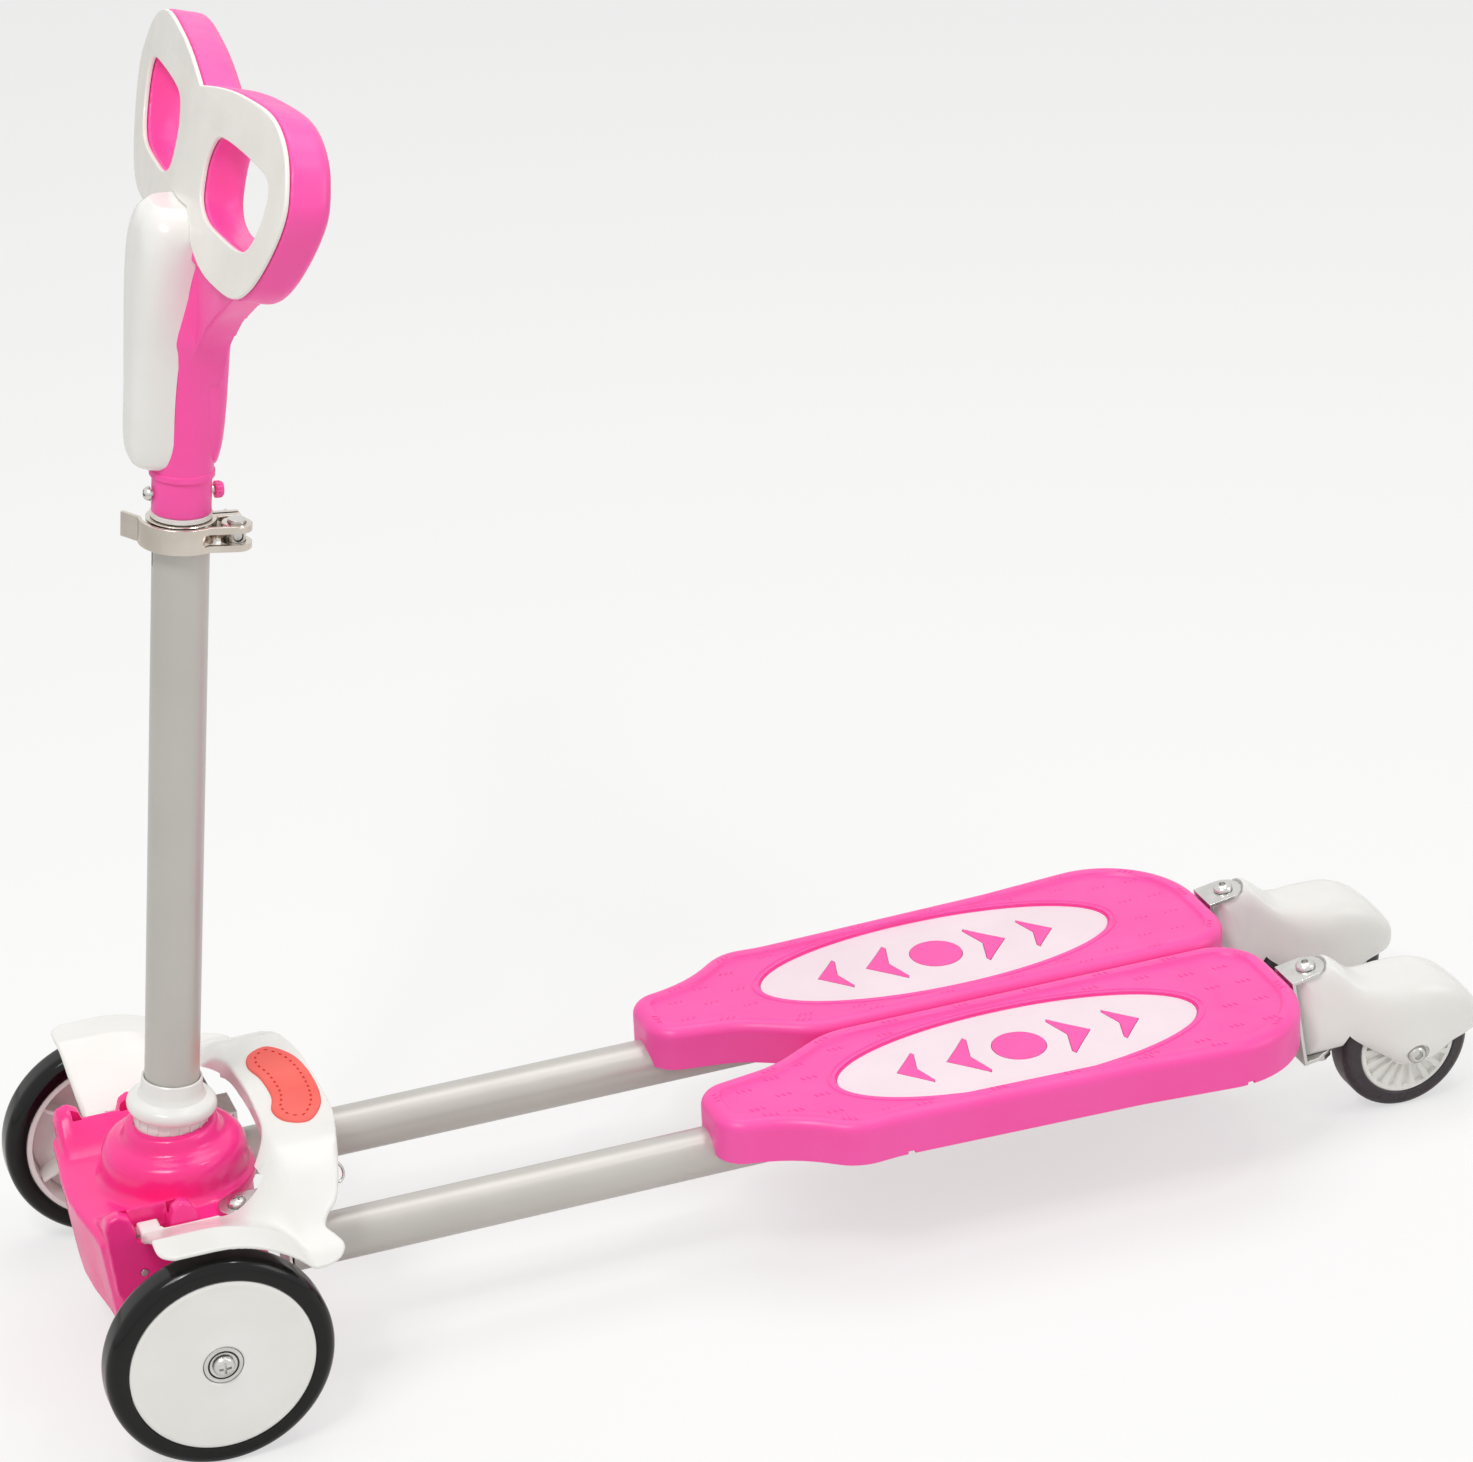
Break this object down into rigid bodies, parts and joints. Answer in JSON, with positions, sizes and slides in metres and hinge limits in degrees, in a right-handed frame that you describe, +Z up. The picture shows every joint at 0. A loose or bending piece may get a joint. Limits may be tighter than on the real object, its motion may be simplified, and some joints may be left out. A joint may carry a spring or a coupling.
{
  "type": "four-wheel swing scooter",
  "caption": "Child's swing scooter: raked stem with a looped handle, foot brake over the front wheels, and swinging footboards on tubes with swivelling rear casters.",
  "frame": {"origin": "on the floor under the middle of the overall box, with both footboards closed and the handle at its lowest", "axes": "+X towards the rear casters (the scooter travels along -X), +Y to the rider's right, +Z up"},
  "size_m": [0.8245, 0.2752, 0.6981],
  "materials": {
    "hot_pink_plastic": "satin moulded",
    "deep_pink_plastic": "gloss moulded",
    "white_plastic": "gloss moulded",
    "pale_inlay_plastic": "matt moulded",
    "coral_pad_rubber": "soft matt",
    "black_tyre": "gloss cast urethane",
    "silver_painted_tube": "satin silver paint",
    "zinc_plated_steel": "zinc plated",
    "nickel_plate": "satin nickel"
  },
  "bodies": {
    "base": {"base_housing": "deep_pink_plastic", "stem_collar": "white_plastic", "stem_tube": "silver_painted_tube", "stem_bush": "white_plastic", "clamp_band": "nickel_plate", "cam_pin": "zinc_plated_steel", "clamp_bolt": "zinc_plated_steel", "clamp_nut": "zinc_plated_steel", "leg_left_bolt": "zinc_plated_steel", "leg_left_nut": "zinc_plated_steel", "pedal_pin_left": "zinc_plated_steel", "front_axle_bolt_left": "zinc_plated_steel", "leg_right_bolt": "zinc_plated_steel", "leg_right_nut": "zinc_plated_steel", "pedal_pin_right": "zinc_plated_steel", "front_axle_bolt_right": "zinc_plated_steel"},
    "handlebar": {"inner_tube": "zinc_plated_steel", "handle_body": "hot_pink_plastic", "handle_face": "white_plastic", "front_cover": "white_plastic", "rear_cover": "hot_pink_plastic", "handle_screw": "zinc_plated_steel", "handle_knob": "hot_pink_plastic"},
    "clamp_lever": {"clamp_lever": "nickel_plate"},
    "brake_pedal": {"brake_pedal": "white_plastic", "pedal_pad": "coral_pad_rubber"},
    "front_wheel_left": {"front_disc_left": "white_plastic", "front_tyre_left": "black_tyre", "front_bearing_left": "zinc_plated_steel"},
    "leg_left": {"leg_clevis_left": "zinc_plated_steel", "leg_tube_left": "silver_painted_tube", "deck_left": "hot_pink_plastic", "deck_inlay_left": "pale_inlay_plastic", "caster_fork_left": "zinc_plated_steel", "caster_left_bolt": "zinc_plated_steel", "caster_left_nut": "zinc_plated_steel"},
    "caster_left": {"caster_housing_left": "white_plastic", "rear_axle_bolt_left": "zinc_plated_steel"},
    "rear_wheel_left": {"rear_tyre_left": "black_tyre", "rear_hub_left": "white_plastic"},
    "front_wheel_right": {"front_disc_right": "white_plastic", "front_tyre_right": "black_tyre", "front_bearing_right": "zinc_plated_steel"},
    "leg_right": {"leg_clevis_right": "zinc_plated_steel", "leg_tube_right": "silver_painted_tube", "deck_right": "hot_pink_plastic", "deck_inlay_right": "pale_inlay_plastic", "caster_fork_right": "zinc_plated_steel", "caster_right_bolt": "zinc_plated_steel", "caster_right_nut": "zinc_plated_steel"},
    "caster_right": {"caster_housing_right": "white_plastic", "rear_axle_bolt_right": "zinc_plated_steel"},
    "rear_wheel_right": {"rear_tyre_right": "black_tyre", "rear_hub_right": "white_plastic"}
  },
  "joints": [
    {"name": "handlebar_height", "type": "slide", "parent": "base", "child": "handlebar", "axis": [0.1125, 0, 0.9937], "range_m": [0, 0.13]},
    {"name": "clamp_lever_open", "type": "hinge", "parent": "base", "child": "clamp_lever", "pos_m": [-0.27767, -0.013, 0.46019], "axis": [0.1125, 0, 0.9937], "range_deg": [0, 150]},
    {"name": "brake_press", "type": "hinge", "parent": "base", "child": "brake_pedal", "pos_m": [-0.37475, 0, 0.0815], "axis": [0, 1, 0], "range_deg": [0, 6.5], "stiffness_Nm_per_rad": 2.5, "springref_deg": -11.46},
    {"name": "front_wheel_left_spin", "type": "hinge", "parent": "base", "child": "front_wheel_left", "pos_m": [-0.35225, -0.1215, 0.06], "axis": [0, -1, 0], "continuous": true},
    {"name": "front_wheel_right_spin", "type": "hinge", "parent": "base", "child": "front_wheel_right", "pos_m": [-0.35225, 0.1215, 0.06], "axis": [0, -1, 0], "continuous": true},
    {"name": "leg_left_swing", "type": "hinge", "parent": "base", "child": "leg_left", "pos_m": [-0.31975, -0.052, 0.07425], "axis": [0, 0, -1], "range_deg": [0, 30]},
    {"name": "caster_left_swivel", "type": "hinge", "parent": "leg_left", "child": "caster_left", "pos_m": [0.30875, -0.052, 0.0722], "axis": [-0.1633, 0, 0.9866], "range_deg": [-40, 20]},
    {"name": "rear_wheel_left_spin", "type": "hinge", "parent": "caster_left", "child": "rear_wheel_left", "pos_m": [0.36555, -0.052, 0.04], "axis": [0, -1, 0], "continuous": true},
    {"name": "leg_right_swing", "type": "hinge", "parent": "base", "child": "leg_right", "pos_m": [-0.31975, 0.052, 0.07425], "axis": [0, 0, 1], "range_deg": [0, 30]},
    {"name": "caster_right_swivel", "type": "hinge", "parent": "leg_right", "child": "caster_right", "pos_m": [0.30875, 0.052, 0.0722], "axis": [-0.1633, 0, 0.9866], "range_deg": [-20, 40]},
    {"name": "rear_wheel_right_spin", "type": "hinge", "parent": "caster_right", "child": "rear_wheel_right", "pos_m": [0.36555, 0.052, 0.04], "axis": [0, -1, 0], "continuous": true}
  ]
}
